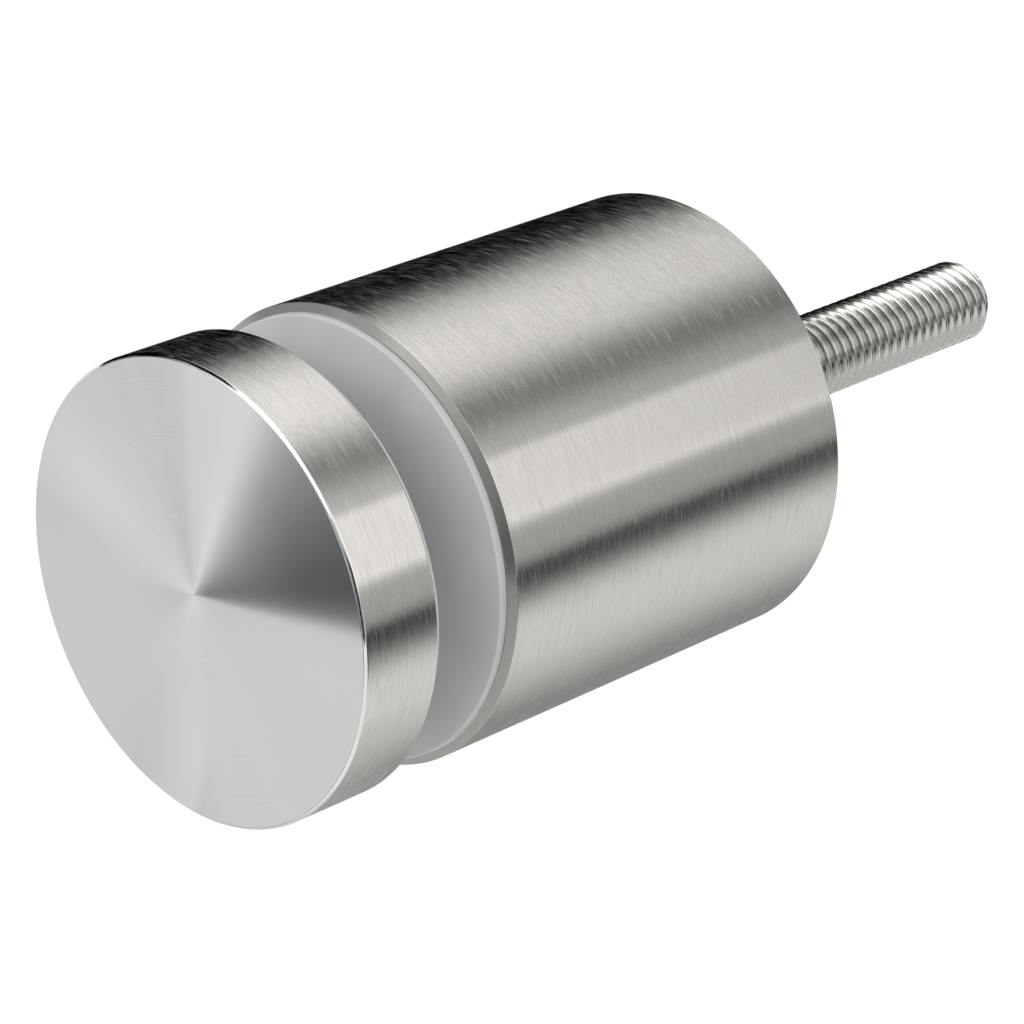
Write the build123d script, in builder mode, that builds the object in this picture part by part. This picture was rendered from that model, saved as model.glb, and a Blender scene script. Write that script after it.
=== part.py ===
from build123d import *
import os

# A glass point fixing: a thick round head clamps a sheet of glass against a
# turned spacer, and a threaded stud holds the spacer off the wall. Its axis is
# Y, the rear of the spacer lies on the wall plane Y = 0, the head is towards
# -Y and the wall stud towards +Y. All sizes are in millimetres.

# Turned steel: the head and the spacer are cut from one bar
bar_diameter = 50.0
body_length = 50.0
head_thickness = 10.0
bevel_width = 1.0
bevel_depth = 0.5
head_front_break = 0.3
edge_break = 0.25

# Thread of both studs, drawn as plain rods and plain holes
thread_diameter = 10.0
thread_pitch = 1.5
thread_allowance = 0.18
countersink = 0.5
head_hole_depth = 7.5
clamp_stud_length = 35.0
stud_gap = 4.5
stud_projection = 52.0
relief_width = 1.6

# Soft pieces round the glass
glass_gap = 8.5
thinnest_glass = 8.0
gasket_thickness = 1.0
gasket_rounding = 0.2
sleeve_clearance = 0.19
sleeve_wall = 3.9
sleeve_break = 0.4
sleeve_end_gap = 0.5
gasket_clearance = 0.15

# Sizes that follow from those above
bar_radius = bar_diameter / 2
hole_radius = thread_diameter / 2
rod_radius = (thread_diameter - thread_allowance) / 2
core_radius = (thread_diameter - 1.2269 * thread_pitch) / 2
rod_chamfer = rod_radius - core_radius
gasket_radius = bar_radius - bevel_width
sleeve_bore_radius = rod_radius + sleeve_clearance
sleeve_radius = sleeve_bore_radius + sleeve_wall
gasket_bore_radius = sleeve_radius + gasket_clearance
sleeve_length = gasket_thickness + thinnest_glass - sleeve_end_gap

# Faces along the axis, each as its distance out from the wall plane
body_front = body_length
glass_rear = body_front + gasket_thickness
glass_front = glass_rear + glass_gap
head_rear = glass_front + gasket_thickness
clamp_stud_outer = head_rear + head_hole_depth
clamp_stud_inner = clamp_stud_outer - clamp_stud_length
deepest_clamp_stud = clamp_stud_inner - (glass_gap - thinnest_glass)
wall_stud_inner = deepest_clamp_stud - stud_gap
wall_stud_length = wall_stud_inner + stud_projection

os.makedirs("parts", exist_ok=True)


def station(distance):
    """The plane across the axis at this distance out from the wall, facing the head."""
    return Plane.XZ.offset(distance)


def rims(part, radius):
    """The circular edges of this radius, from the head's end to the wall stud's end."""
    circles = part.edges().filter_by(GeomType.CIRCLE)
    return circles.filter_by(lambda edge: abs(edge.radius - radius) < 0.001).sort_by(Axis.Y)


# Spacer body: one turned piece, bored and tapped right through, with a shallow
# bevel round its front face and a small break on its rear edge
with BuildPart() as spacer_body:
    with BuildSketch(Plane.XY):
        with BuildLine():
            Polyline(
                (hole_radius + countersink, 0),
                (bar_radius - edge_break, 0),
                (bar_radius, -edge_break),
                (bar_radius, bevel_depth - body_front),
                (bar_radius - bevel_width, -body_front),
                (hole_radius + countersink, -body_front),
                (hole_radius, countersink - body_front),
                (hole_radius, -countersink),
                close=True,
            )
        make_face()
    revolve(axis=Axis.Y)
spacer_body.part.label = "spacer_body"
export_step(spacer_body.part, "parts/spacer_body.step")


# Head cap: a turned disc with a blind tapped hole in its rear face, flat at its
# floor because the disc is too thin for a drill point
with BuildPart() as head_cap:
    with BuildSketch(station(head_rear)):
        Circle(bar_radius)
    extrude(amount=head_thickness)
    chamfer(rims(head_cap, bar_radius)[0], length=head_front_break)
    chamfer(rims(head_cap, bar_radius)[-1], length=edge_break)
    with BuildSketch(station(head_rear)):
        Circle(hole_radius)
    extrude(amount=head_hole_depth, mode=Mode.SUBTRACT)
    chamfer(rims(head_cap, hole_radius)[-1], length=countersink)
head_cap.part.label = "head_cap"
export_step(head_cap.part, "parts/head_cap.step")


# Clamp stud: a threaded rod that bottoms in the head, crosses the glass and
# screws into the front of the spacer
with BuildPart() as clamp_stud:
    with BuildSketch(station(clamp_stud_inner)):
        Circle(rod_radius)
    extrude(amount=clamp_stud_length)
    chamfer(rims(clamp_stud, rod_radius), length=rod_chamfer)
clamp_stud.part.label = "clamp_stud"
export_step(clamp_stud.part, "parts/clamp_stud.step")


# Wall stud: a double-ended stud, screwed into the rear of the spacer up to the
# short relief between its two threads
with BuildPart() as wall_stud:
    with BuildSketch(station(-stud_projection)):
        Circle(rod_radius)
    extrude(amount=wall_stud_length)
    chamfer(rims(wall_stud, rod_radius), length=rod_chamfer)
    with BuildSketch(station(0)):
        Circle(hole_radius)
        Circle(core_radius, mode=Mode.SUBTRACT)
    extrude(amount=relief_width, mode=Mode.SUBTRACT)
wall_stud.part.label = "wall_stud"
export_step(wall_stud.part, "parts/wall_stud.step")


# Gaskets: two like rings punched from soft plastic sheet, one on the face of
# the spacer and one on the rear of the head, with the glass between them
for name, rear in [("spacer_gasket", body_front), ("head_gasket", glass_front)]:
    with BuildPart() as gasket:
        with BuildSketch(station(rear)):
            Circle(gasket_radius)
            Circle(gasket_bore_radius, mode=Mode.SUBTRACT)
        extrude(amount=gasket_thickness)
        fillet(rims(gasket, gasket_radius), radius=gasket_rounding)
    gasket.part.label = name
    export_step(gasket.part, f"parts/{name}.step")


# Glass sleeve: a plastic bush round the clamp stud that centres both gaskets
# and keeps the edge of the hole in the glass off the steel
with BuildPart() as glass_sleeve:
    with BuildSketch(station(body_front)):
        Circle(sleeve_radius)
        Circle(sleeve_bore_radius, mode=Mode.SUBTRACT)
    extrude(amount=sleeve_length)
    chamfer(rims(glass_sleeve, sleeve_radius)[0], length=sleeve_break)
glass_sleeve.part.label = "glass_sleeve"
export_step(glass_sleeve.part, "parts/glass_sleeve.step")
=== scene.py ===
import math

import bmesh
import bpy
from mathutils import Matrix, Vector


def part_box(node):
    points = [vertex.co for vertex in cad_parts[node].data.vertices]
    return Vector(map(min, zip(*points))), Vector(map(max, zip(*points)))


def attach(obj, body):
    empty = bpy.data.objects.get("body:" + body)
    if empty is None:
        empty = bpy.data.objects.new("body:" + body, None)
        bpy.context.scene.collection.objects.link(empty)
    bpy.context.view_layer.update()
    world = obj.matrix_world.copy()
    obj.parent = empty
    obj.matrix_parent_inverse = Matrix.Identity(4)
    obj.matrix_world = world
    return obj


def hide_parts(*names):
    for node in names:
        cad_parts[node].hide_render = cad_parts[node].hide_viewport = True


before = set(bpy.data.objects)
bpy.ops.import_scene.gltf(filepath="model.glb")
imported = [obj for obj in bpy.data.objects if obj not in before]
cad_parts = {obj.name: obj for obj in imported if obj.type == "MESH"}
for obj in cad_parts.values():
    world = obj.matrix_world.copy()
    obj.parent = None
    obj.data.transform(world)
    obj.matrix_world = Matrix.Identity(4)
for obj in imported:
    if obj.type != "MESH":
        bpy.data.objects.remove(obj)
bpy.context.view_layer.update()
bpy.ops.object.select_all(action="DESELECT")
millimetre = 0.001


# Spacer body: a length of stainless bar, faced, bored and tapped right through.
# Its side is brushed round with abrasive cloth while it turns on the lathe, and a
# shallow bevel is cut round its front face.
class Signal:
    """A socket in a shader. Sums on signals, written as Python, become Math nodes."""

    def __init__(self, tree, socket=None):
        self.tree = tree
        self.socket = socket

    def node(self, kind, settings, sockets, output=0):
        """Adds a node, gives it its settings, then the values or links of its sockets."""
        made = self.tree.nodes.new("ShaderNode" + kind)
        for name, setting in settings.items():
            setattr(made, name, setting)
        for name, value in sockets.items():
            if isinstance(value, Signal):
                self.tree.links.new(value.socket, made.inputs[name])
            else:
                made.inputs[name].default_value = value
        return Signal(self.tree, made.outputs[output] if made.outputs else None)

    def sum(self, operation, *values):
        return self.node("Math", {"operation": operation}, dict(enumerate(values)))

    def __add__(self, other):
        return self.sum("ADD", self, other)

    def __radd__(self, other):
        return self.sum("ADD", other, self)

    def __sub__(self, other):
        return self.sum("SUBTRACT", self, other)

    def __rsub__(self, other):
        return self.sum("SUBTRACT", other, self)

    def __mul__(self, other):
        return self.sum("MULTIPLY", self, other)

    def __rmul__(self, other):
        return self.sum("MULTIPLY", other, self)

    def __truediv__(self, other):
        return self.sum("DIVIDE", self, other)

    def __rtruediv__(self, other):
        return self.sum("DIVIDE", other, self)

    def rise(self, start, end, low=0.0, high=1.0):
        """Goes smoothly from low to high as this signal goes from start to end."""
        limits = {"Value": self, 1: start, 2: end, 3: low, 4: high}
        return self.node("MapRange", {"interpolation_type": "SMOOTHSTEP"}, limits)

    def mix(self, first, second):
        """The first colour where this signal is 0, the second where it is 1."""
        colours = {0: self}
        for socket, colour in [(6, first), (7, second)]:
            colours[socket] = colour if isinstance(colour, Signal) else (*colour, 1)
        return self.node("Mix", {"data_type": "RGBA"}, colours, output=2)


def new_finish(name):
    """A material with no nodes yet, and a signal to start its nodes from."""
    material = bpy.data.materials.new(name)
    material.use_nodes = True
    material.node_tree.nodes.clear()
    return material, Signal(material.node_tree)


def end_in(surface, shader, sockets):
    """Ends a material's nodes in this shader, with these values and links."""
    surface.node("OutputMaterial", {}, {"Surface": surface.node(shader, {}, sockets)})


def place_on_piece(surface):
    """Where a point of the surface is: x across the axis, y along it and z above it."""
    place = surface.node("TexCoord", {}, {}, output="Object")
    return [surface.node("SeparateXYZ", {}, {0: place}, output=axis) for axis in range(3)]


def place_on_bar(surface):
    """Where a point of a turned piece is: round from its top, along it, out from its axis."""
    x, y, z = place_on_piece(surface)
    angle = surface.sum("ARCTAN2", x, z)
    radius = surface.sum("SQRT", x * x + z * z)
    return angle, y, radius


def facing_along(surface):
    """How squarely the surface looks along the axis: 0 on a side, 1 on a flat end."""
    normal = surface.node("TexCoord", {}, {}, output="Normal")
    return surface.sum("ABSOLUTE", surface.node("SeparateXYZ", {}, {0: normal}, output=1))


bar_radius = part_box("spacer_body")[1].x


def strokes(surface, angle, along, slant, length, width, seed):
    """Fine strokes that run round the bar, a little askew: noise drawn out round it."""
    around = angle * bar_radius
    across = (along + around * slant) / width
    place = surface.node("CombineXYZ", {}, {0: around / length, 1: across, 2: seed})
    grain = {"Vector": place, "Scale": 1.0, "Detail": 2.0, "Roughness": 0.6}
    return surface.node("TexNoise", {"noise_dimensions": "3D"}, grain)


pressed_to = 0.7
eased_from = 0.95
stray_height = 0.2


def brushing(surface, angle, along):
    """The cloth's strokes: how bright each is, how high, and how torn, which dulls it.

    The cloth was pressed hardest high on the bar's right, and most lightly low down. The
    distance along the piece may take in its radius, and then a flat end has rings.
    """
    fine = strokes(surface, angle, along, 0.01, 5 * millimetre, 0.055 * millimetre, 1)
    left = strokes(surface, angle, along, 0.04, 7 * millimetre, 0.09 * millimetre, 5)
    right = strokes(surface, angle, along, -0.045, 7 * millimetre, 0.10 * millimetre, 9)
    stray = strokes(surface, angle, along, 0.1, 7 * millimetre, 0.12 * millimetre, 13)
    torn = strokes(surface, angle, along, 0.02, 4 * millimetre, 0.13 * millimetre, 17)
    cloth = fine * 0.3 + left * 0.35 + right * 0.35
    from_top = surface.sum("ABSOLUTE", angle)
    firm = from_top.rise(pressed_to, eased_from, 1.6, 0.5) * angle.rise(0.0, 0.3, 0.5, 1.0)
    relief = (cloth + stray.rise(0.69, 0.75) * stray_height - 0.5) * firm
    dulled = torn.rise(0.5, 0.7) * from_top.rise(pressed_to, eased_from, 2.0, 1.0)
    return cloth.rise(0.42, 0.58), relief, dulled


def drawn_out_shine(surface, colour, roughness, height):
    """Steel whose shine is drawn out across the marks that run round the bar."""
    return {
        "Base Color": colour,
        "Metallic": 1.0,
        "Roughness": roughness,
        "Anisotropic": 1.0,
        "Anisotropic Rotation": 0.25,
        "Tangent": surface.node("Tangent", {"direction_type": "RADIAL", "axis": "Y"}, {}),
        "Normal": surface.node("Bump", {}, {"Strength": 1.0, "Distance": 1.0, "Height": height}),
    }


stroke_depth = 0.03 * millimetre
steel_roughness = 0.16
torn_roughness = 0.17
bevel_roughness = 0.2
body_dark = (0.59, 0.57, 0.54)
body_bright = (0.69, 0.67, 0.635)
# The bevel's darker colour is painted shade, where it lies in the gap behind the head
bevel_shade_colour = (0.39, 0.38, 0.365)

brushed_steel, surface = new_finish("brushed_steel")
angle, along, radius = place_on_bar(surface)
facing = facing_along(surface)
side = 1 - facing.rise(0.3, 0.6)
bevel = facing.rise(0.5, 0.8) * (1 - facing.rise(0.93, 0.97))
bright, relief, torn = brushing(surface, angle, along + radius)
# The bevel is coloured darker than the side: painted shade in the gap behind the head
colour = bevel.mix(bright.mix(body_dark, body_bright), bevel_shade_colour)
roughness = bevel * bevel_roughness + torn * side * torn_roughness + steel_roughness
height = relief * side * stroke_depth
end_in(surface, "BsdfPrincipled", drawn_out_shine(surface, colour, roughness, height))

touching = 1e-6


def pick(piece, kind, test):
    """Selects, in edit mode, the vertices, edges or faces that pass the test."""
    mesh = bmesh.from_edit_mesh(piece.data)
    for part in [*mesh.verts, *mesh.edges, *mesh.faces]:
        part.select = False
    for part in getattr(mesh, kind):
        if test(part):
            part.select_set(True)
    bmesh.update_edit_mesh(piece.data)


def chain(name, corners):
    """A piece that is one line through these corners (radius, station along the axis)."""
    bpy.ops.mesh.primitive_plane_add(size=millimetre)
    piece = bpy.context.active_object
    piece.name = name
    bpy.ops.object.mode_set(mode="EDIT")
    bpy.ops.mesh.merge(type="CENTER")
    bpy.ops.transform.translate(value=(corners[0][0], corners[0][1], 0))
    for here, there in zip(corners, corners[1:]):
        step = (there[0] - here[0], there[1] - here[1], 0)
        bpy.ops.mesh.extrude_vertices_move(TRANSFORM_OT_translate={"value": step})
    return piece


def spin_round(piece, steps):
    """Spins the line in edit mode once round the Y axis, and closes and turns out the skin."""
    bpy.ops.mesh.select_all(action="SELECT")
    bpy.ops.mesh.spin(steps=steps, angle=2 * math.pi, center=(0, 0, 0), axis=(0, 1, 0))
    bpy.ops.mesh.select_all(action="SELECT")
    bpy.ops.mesh.remove_doubles(threshold=touching)
    bpy.ops.mesh.normals_make_consistent(inside=False)
    bpy.ops.object.mode_set(mode="OBJECT")
    return piece


def finish_mesh(piece, smooth_degrees):
    """Puts the piece's place into its mesh, and smooths all but its sharp edges."""
    bpy.ops.object.select_all(action="DESELECT")
    piece.select_set(True)
    bpy.context.view_layer.objects.active = piece
    bpy.ops.object.transform_apply(location=True, rotation=True, scale=True)
    bpy.ops.object.shade_smooth_by_angle(angle=math.radians(smooth_degrees))
    return piece


turning_steps = 180
edge_rounding = 0.08 * millimetre


def turned(name, corners):
    """A piece turned about the Y axis from its corners, every edge just rounded."""
    piece = chain(name, corners)
    bpy.ops.mesh.select_all(action="SELECT")
    bpy.ops.mesh.remove_doubles(threshold=touching)
    pick(piece, "verts", lambda v: v.co.x > edge_rounding)
    bpy.ops.mesh.bevel(offset=edge_rounding, segments=2, affect="VERTICES")
    finish_mesh(spin_round(piece, turning_steps), 35)
    piece.modifiers.new("flat faces stay flat", "WEIGHTED_NORMAL")
    bpy.ops.object.modifier_apply(modifier="flat faces stay flat")
    return piece


def fit(piece, material, body, node):
    """Gives the piece its one material, the body it moves with and the CAD node it stands for."""
    piece.data.materials.clear()
    piece.data.materials.append(material)
    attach(piece, body)
    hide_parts(node)


hole_radius = 5.0 * millimetre
countersink = 0.5 * millimetre
edge_break = 0.25 * millimetre
bevel_width = 1.0 * millimetre
bevel_depth = 0.5 * millimetre
front, rear = [corner.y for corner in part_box("spacer_body")]
body_corners = [
    (hole_radius + countersink, rear),
    (bar_radius - edge_break, rear),
    (bar_radius, rear - edge_break),
    (bar_radius, front + bevel_depth),
    (bar_radius - bevel_width, front),
    (hole_radius + countersink, front),
    (hole_radius, front + countersink),
    (hole_radius, rear - countersink),
    (hole_radius + countersink, rear),
]
spacer = turned("spacer_body_turned", body_corners)
fit(spacer, brushed_steel, "spacer", "spacer_body")


# Head cap: a disc parted from the same bar and faced off, so that its front shines
# in sectors. Its side is brushed like the spacer's, and the edge between them is
# broken with a smooth tool and polished; it is also coloured lighter: a painted highlight.
head_dark = (0.62, 0.60, 0.57)
head_bright = (0.72, 0.70, 0.665)
ring_dark = (0.56, 0.555, 0.55)
ring_bright = (0.585, 0.58, 0.575)
edge_highlight_colour = (0.75, 0.74, 0.72)
edge_polish = 0.06
ring_width = 0.12 * millimetre
ring_depth = 0.002 * millimetre
tool_slope = math.tan(math.radians(20))
tool_nose = 1.5 * millimetre
face_radius = bar_radius - 0.1 * millimetre

turned_steel, surface = new_finish("turned_steel")
angle, along, radius = place_on_bar(surface)
facing = facing_along(surface)
flat = facing.rise(0.85, 0.97)
side = 1 - facing.rise(0.1, 0.4)
edge = (1 - flat) * (1 - side)
bright, relief, torn = brushing(surface, angle, along)
ring_marks = {"W": radius / ring_width, "Scale": 1.0, "Detail": 3.0}
rings = surface.node("TexNoise", {"noise_dimensions": "1D"}, ring_marks)
face_colour = rings.rise(0.3, 0.7).mix(ring_dark, ring_bright)
# The broken edge gets a lighter colour than the steel: a painted highlight
colour = edge.mix(flat.mix(bright.mix(head_dark, head_bright), face_colour), edge_highlight_colour)

# The tool's marks all lean one way, as on a shallow cone with a round tip, and they
# are coarser towards the centre, where the tool cuts slowly
cone = face_radius - surface.sum("SQRT", radius * radius + tool_nose**2)
face_height = (rings - 0.5) * ring_depth + cone * tool_slope
height = relief * side * stroke_depth + face_height * flat
coarse = flat * radius.rise(1 * millimetre, 20 * millimetre, 0.14, 0.04)
roughness = coarse - edge * edge_polish + torn * side * torn_roughness + steel_roughness
end_in(surface, "BsdfPrincipled", drawn_out_shine(surface, colour, roughness, height))

hole_depth = 7.5 * millimetre
front_break = 0.3 * millimetre
front, rear = [corner.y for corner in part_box("head_cap")]
head_corners = [
    (0, rear - hole_depth),
    (hole_radius, rear - hole_depth),
    (hole_radius, rear - countersink),
    (hole_radius + countersink, rear),
    (bar_radius - edge_break, rear),
    (bar_radius, rear - edge_break),
    (bar_radius, front + front_break),
    (bar_radius - front_break, front),
    (0, front),
]
head = turned("head_cap_turned", head_corners)
fit(head, turned_steel, "head", "head_cap")


# Wall stud and clamp stud: lengths of stainless rod with a rolled M10 thread, the
# ends chamfered down to the root. The wall stud is relieved where its two threads
# meet, inside the mouth of the spacer.
pitch = 1.5 * millimetre
root = 4.08 * millimetre
neck = 4.05 * millimetre
thread_steps = 40
thread_rounding = 0.12 * millimetre
lead_in = 2.01 * pitch
spare_turns = 4
shortest_flank = 0.4 * millimetre


def threaded_rod(name, node, groove):
    """The stud that stands for a CAD node: a right-hand thread, then its ends and groove."""
    low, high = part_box(node)
    near, far, crest = low.y, high.y, high.x
    start = near - lead_in
    root_end = start + pitch / 8
    flank = (crest - root) * math.tan(math.radians(30))
    crest_flat = pitch * 3 / 4 - 2 * flank
    rod = chain(
        name,
        [
            (root, start),
            (root, root_end),
            (crest, root_end + flank),
            (crest, root_end + flank + crest_flat),
            (root, root_end + 2 * flank + crest_flat),
            (root, start + pitch),
        ],
    )
    pick(rod, "verts", lambda v: start + touching < v.co.y < start + pitch - touching)
    bpy.ops.mesh.bevel(offset=thread_rounding, segments=3, affect="VERTICES")
    pick(rod, "edges", lambda e: e.calc_length() > shortest_flank)
    bpy.ops.mesh.subdivide(number_cuts=3)
    bpy.ops.object.mode_set(mode="OBJECT")

    screw = rod.modifiers.new("thread", "SCREW")
    screw.axis = "Y"
    screw.angle = 2 * math.pi
    screw.screw_offset = pitch
    screw.iterations = math.ceil((far - near) / pitch) + spare_turns
    screw.steps = thread_steps
    screw.render_steps = thread_steps
    bpy.context.view_layer.objects.active = rod
    bpy.ops.object.modifier_apply(modifier="thread")
    bpy.ops.object.mode_set(mode="EDIT")
    bpy.ops.mesh.select_all(action="SELECT")
    bpy.ops.mesh.remove_doubles(threshold=touching)

    for station, away in [(near, -1), (far, 1)]:
        cut = {"plane_co": (0, station, 0), "plane_no": (0, away, 0)}
        bpy.ops.mesh.select_all(action="SELECT")
        bpy.ops.mesh.bisect(threshold=touching / 10, clear_outer=True, **cut)
        bpy.ops.mesh.select_all(action="SELECT")
        bpy.ops.mesh.remove_doubles(threshold=2 * touching)
        pick(rod, "edges", lambda e: e.is_boundary and abs(e.verts[0].co.y - station) < 10 * touching)
        bpy.ops.mesh.edge_face_add()
    bpy.ops.mesh.select_all(action="SELECT")
    bpy.ops.mesh.normals_make_consistent(inside=False)
    bpy.ops.object.mode_set(mode="OBJECT")

    for vertex in rod.data.vertices:
        place = vertex.co
        reach = math.hypot(place.x, place.z)
        allowed = neck + min(place.y - near, far - place.y)
        if groove and groove[0] < place.y < groove[1]:
            allowed = neck
        if reach > allowed:
            place.x *= allowed / reach
            place.z *= allowed / reach
    return finish_mesh(rod, 35)


def speckle(surface, scale, detail):
    """A fine even speckle all over a piece."""
    place = surface.node("TexCoord", {}, {}, output="Object")
    grain = {"Vector": place, "Scale": scale, "Detail": detail}
    return surface.node("TexNoise", {"noise_dimensions": "3D"}, grain)


rolled_steel, surface = new_finish("rolled_steel")
grain = speckle(surface, 3000.0, 2.0)
shine = {
    "Base Color": grain.rise(0.3, 0.7).mix((0.53, 0.515, 0.495), (0.60, 0.585, 0.565)),
    "Metallic": 1.0,
    "Roughness": grain.rise(0.3, 0.7, 0.15, 0.20),
}
end_in(surface, "BsdfPrincipled", shine)

relief_groove = (-1.6 * millimetre, 0.0)
for name, node, body, groove in [
    ("wall_stud_thread", "wall_stud", "spacer", relief_groove),
    ("clamp_stud_thread", "clamp_stud", "head", None),
]:
    fit(threaded_rod(name, node, groove), rolled_steel, body, node)


# Gaskets and sleeve: two rings punched from soft clear plastic sheet, one on each
# side of the glass, and the short bush that keeps the glass off the stud. The
# plastic is frosted, so that it lets light through but shows nothing.
frosted_plastic, surface = new_finish("frosted_plastic")
cloud = speckle(surface, 90.0, 3.0)
grit = {"Strength": 1.0, "Distance": 0.01 * millimetre, "Height": speckle(surface, 9000.0, 1.0)}
shine = {
    "Base Color": cloud.rise(0.3, 0.7).mix((0.50, 0.495, 0.485), (0.56, 0.555, 0.545)),
    "Roughness": cloud.rise(0.3, 0.7, 0.42, 0.52),
    "Normal": surface.node("Bump", {}, grit),
}
end_in(surface, "BsdfPrincipled", shine)

ring_steps = 128


def plastic_ring(name, node, bore, corner, segments, last_station):
    """A ring spun from its section, its outer corners rounded or cut up to this station."""
    low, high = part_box(node)
    width = high.x - bore
    length = high.y - low.y
    middle = bore + width / 2
    bpy.ops.mesh.primitive_plane_add(size=1, location=(middle, low.y + length / 2, 0))
    ring = bpy.context.active_object
    ring.name = name
    ring.scale = (width, length, 1)
    bpy.ops.object.transform_apply(location=True, rotation=True, scale=True)
    bpy.ops.object.mode_set(mode="EDIT")
    pick(ring, "verts", lambda v: v.co.x > middle and v.co.y < last_station)
    bpy.ops.mesh.bevel(offset=corner, segments=segments, affect="VERTICES")
    bpy.ops.mesh.select_all(action="SELECT")
    bpy.ops.mesh.delete(type="ONLY_FACE")
    return finish_mesh(spin_round(ring, ring_steps), 40)


gasket_bore = 9.15 * millimetre
gasket_rounding = 0.2 * millimetre
for name, node, body in [
    ("spacer_gasket_ring", "spacer_gasket", "spacer"),
    ("head_gasket_ring", "head_gasket", "front_gasket"),
]:
    ring = plastic_ring(name, node, gasket_bore, gasket_rounding, 4, math.inf)
    fit(ring, frosted_plastic, body, node)

sleeve_bore = 5.1 * millimetre
sleeve_break = 0.4 * millimetre
sleeve_middle = -55 * millimetre
bush = plastic_ring("glass_sleeve_bush", "glass_sleeve", sleeve_bore, sleeve_break, 1, sleeve_middle)
fit(bush, frosted_plastic, "spacer", "glass_sleeve")


# Studio: a white tent lights the object evenly, over a white floor that lies well
# below it. Cards stand outside the view, and only the steel shows them.
world = bpy.data.worlds.new("tent")
bpy.context.scene.world = world
world.use_nodes = True
world.node_tree.nodes["Background"].inputs["Color"].default_value = (1, 1, 1, 1)
world.node_tree.nodes["Background"].inputs["Strength"].default_value = 1.0

floor_level = -0.6
floor_glow = 0.12
bpy.ops.mesh.primitive_plane_add(size=8, location=(0, 0, floor_level))
floor = bpy.context.active_object
floor.name = "floor"
floor_paint, surface = new_finish("floor_paint")
seen = surface.node("LightPath", {}, {}, output="Is Camera Ray")
for ray in ["Is Glossy Ray", "Is Transmission Ray"]:
    seen = surface.sum("MAXIMUM", seen, surface.node("LightPath", {}, {}, output=ray))
shine = {
    "Base Color": (0.9, 0.9, 0.9, 1),
    "Roughness": 1.0,
    "Specular IOR Level": 0.0,
    "Emission Color": (1, 1, 1, 1),
    "Emission Strength": seen * floor_glow,
}
end_in(surface, "BsdfPrincipled", shine)
floor.data.materials.append(floor_paint)


def hang(card, paper, surface, tone, lights_plastic):
    """Gives a card paper that glows in this tone, and hides it from all but the pieces."""
    end_in(surface, "Emission", {"Color": (1, 1, 1, 1), "Strength": tone})
    card.data.materials.append(paper)
    card.visible_camera = False
    card.visible_diffuse = lights_plastic
    card.visible_shadow = False


card_steps = 24


def bent_card(name, start, end, reach, near, far, tone_start, tone_end, fades=False):
    """A strip bent round the axis from one angle to another, and from near to far along it.

    Its tone goes from the one to the other. One that fades grows darker along the axis too.
    """
    strip = chain(name, [(reach, near), (reach, far)])
    turn = math.radians(end - start)
    bpy.ops.mesh.select_all(action="SELECT")
    bpy.ops.mesh.spin(steps=card_steps, angle=turn, center=(0, 0, 0), axis=(0, 1, 0))
    bpy.ops.object.mode_set(mode="OBJECT")
    strip.rotation_euler = (0, -math.radians(start), 0)
    finish_mesh(strip, 30)
    paper, surface = new_finish(name)
    x, y, z = place_on_piece(surface)
    middle = math.radians((start + end) / 2)
    sideways = z * math.cos(middle) - x * math.sin(middle)
    outwards = x * math.cos(middle) + z * math.sin(middle)
    tone = surface.sum("ARCTAN2", sideways, outwards).rise(-turn / 2, turn / 2, tone_start, tone_end)
    if fades:
        tone = tone * y.rise(0.2, 0.9, 1.3, 0.15)
    paper.cycles.emission_sampling = "NONE"
    hang(strip, paper, surface, tone, False)


studio_reach = 0.5
studio_cards = [
    ("floor_shade", -150, -108, 0.12, 4, 0.30, 0.30),
    ("floor_rising", -108, -60, 0.12, 4, 0.30, 0.86),
    ("floor_bright", -60, -41, -0.3, 4, 0.9, 0.9),
    ("low_falling", -41, -20, -0.3, 4, 0.9, 0.04),
    ("low_black", -20, -12, -0.3, 4, 0.04, 0.04),
    ("side_scrim", -12, 4, -0.3, 4, 0.53, 0.53),
    ("side_scrim_edge", 4, 9, -0.3, 4, 0.54, 1.0),
    ("side_bright", 9, 38, -0.3, 4, 1.0, 1.0),
    ("upper_scrim_edge", 38, 41, -0.3, 4, 1.0, 0.62),
    ("upper_scrim", 41, 62, -0.3, 4, 0.62, 0.28),
    ("upper_rising", 62, 88, -0.3, 4, 0.28, 1.05),
    ("top_bright", 88, 109, -0.3, 4, 1.05, 1.03),
    ("rear_falling", 109, 145, -0.07, 4, 1.03, 0.01),
    ("rear_black", 145, 182, 0.12, 4, 0.0, 0.0),
    ("low_rear_black", 182, 195, 0.12, 4, 0.0, 0.0),
    ("upper_black", 113, 140, -0.44, -0.07, 0.0, 0.0),
    ("left_black", 140, 162, -0.31, -0.11, 0.0, 0.0),
    ("low_rear", 195, 210, 0.12, 4, 0.02, 0.30),
    ("left_rising", 182, 208, -0.5, 0.12, 0.95, 1.5),
    ("left_bright", 208, 240, -0.5, 0.12, 1.5, 1.0),
]
for name, start, end, near, far, tone_start, tone_end in studio_cards:
    overhead = 8 < start < 140
    bent_card(name, start, end, studio_reach, near, far, tone_start, tone_end, fades=overhead)
bent_card("stud_black", 138, 168, 0.15, -0.11, 0.06, 0.0, 0.0)
bent_card("stud_shade", -125, -50, 0.11, -0.085, 0.0, 0.75, 0.75)

head_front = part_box("head_cap")[0].y


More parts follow.
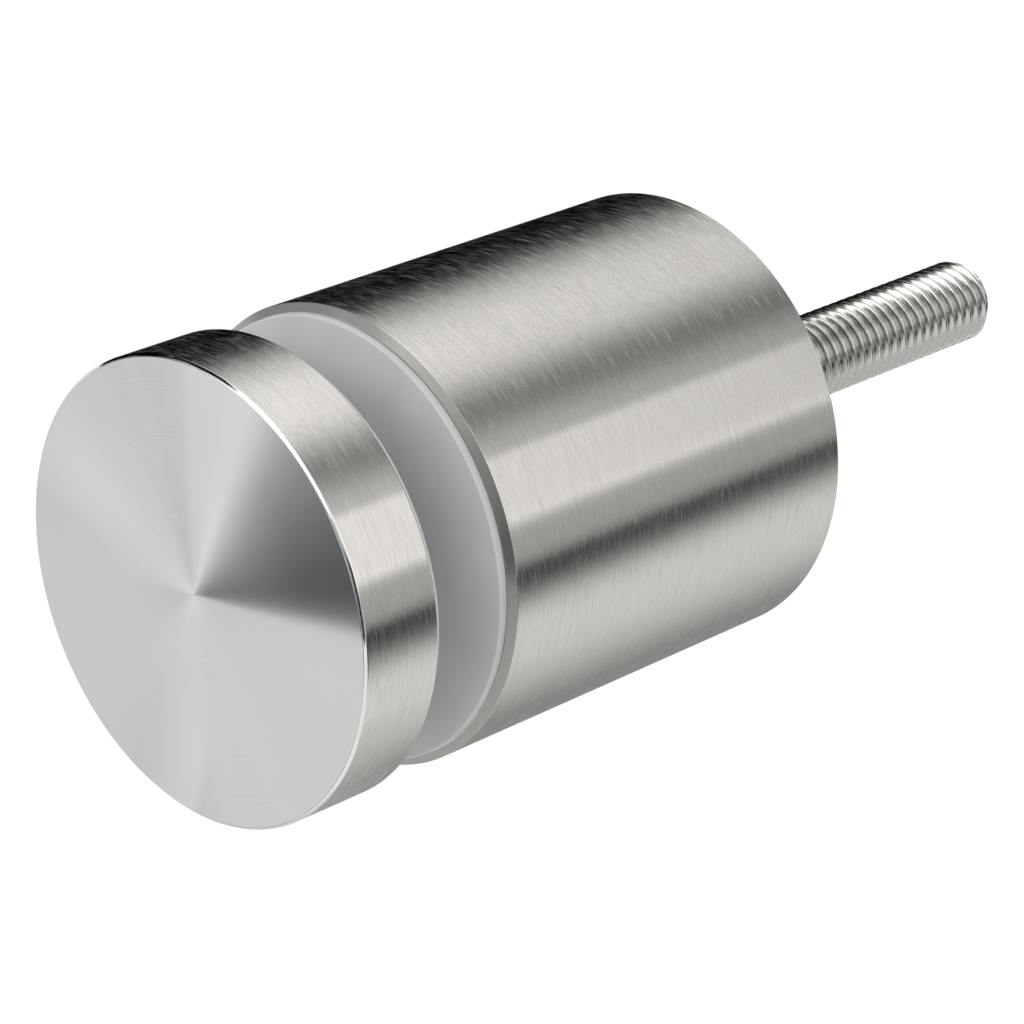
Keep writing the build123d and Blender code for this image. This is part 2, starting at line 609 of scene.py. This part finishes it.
def front_card(name, left, right, bottom, top, reach, tone_low, tone_high, lights_plastic):
    """A flat card in front of the head, given by its edges as bearings from the head's face."""
    edges = [reach * math.tan(math.radians(bearing)) for bearing in (left, right, bottom, top)]
    place = ((edges[0] + edges[1]) / 2, head_front - reach, (edges[2] + edges[3]) / 2)
    bpy.ops.mesh.primitive_plane_add(size=1, location=place, rotation=(math.pi / 2, 0, 0))
    sheet = bpy.context.active_object
    sheet.name = name
    sheet.scale = (edges[1] - edges[0], edges[3] - edges[2], 1)
    finish_mesh(sheet, 30)
    paper, surface = new_finish(name)
    tone = place_on_piece(surface)[2].rise(edges[2], edges[3], tone_low, tone_high)
    hang(sheet, paper, surface, tone, lights_plastic)


front_card("front_black_card", -22, 34, -18, 28, 0.35, 0.02, 0.35, False)
front_card("camera_black_card", 36, 56, -22, 22, 0.35, 0.0, 0.0, False)
front_card("front_window", -50, 34, 26, 45, 0.5, 2.2, 2.2, True)
front_card("top_window", -34, 34, 45, 62, 0.5, 2.2, 2.2, True)


# Camera: a long lens, a little above the object and to its right, level with the
# horizon. It is aimed at a point on the object's axis, shifted to frame it.
azimuth = math.radians(44.41)
elevation = math.radians(22.79)
distance = 438.2 * millimetre
aim_station = -35 * millimetre
aim_right = 7.09 * millimetre
aim_down = 1.53 * millimetre
right = Vector((math.cos(azimuth), math.sin(azimuth), 0))
back = Vector(
    (
        math.sin(azimuth) * math.cos(elevation),
        -math.cos(azimuth) * math.cos(elevation),
        math.sin(elevation),
    )
)
aim = Vector((0, aim_station, 0)) + right * aim_right - back.cross(right) * aim_down
camera_data = bpy.data.cameras.new("camera")
camera = bpy.data.objects.new("camera", camera_data)
bpy.context.scene.collection.objects.link(camera)
camera_data.sensor_width = 36
camera_data.lens = 145.4
camera_data.clip_start = 0.01
camera_data.clip_end = 20
camera.location = aim + back * distance
camera.rotation_euler = (-back).to_track_quat("-Z", "Y").to_euler()
bpy.context.scene.camera = camera
bpy.context.scene.view_settings.view_transform = "Standard"
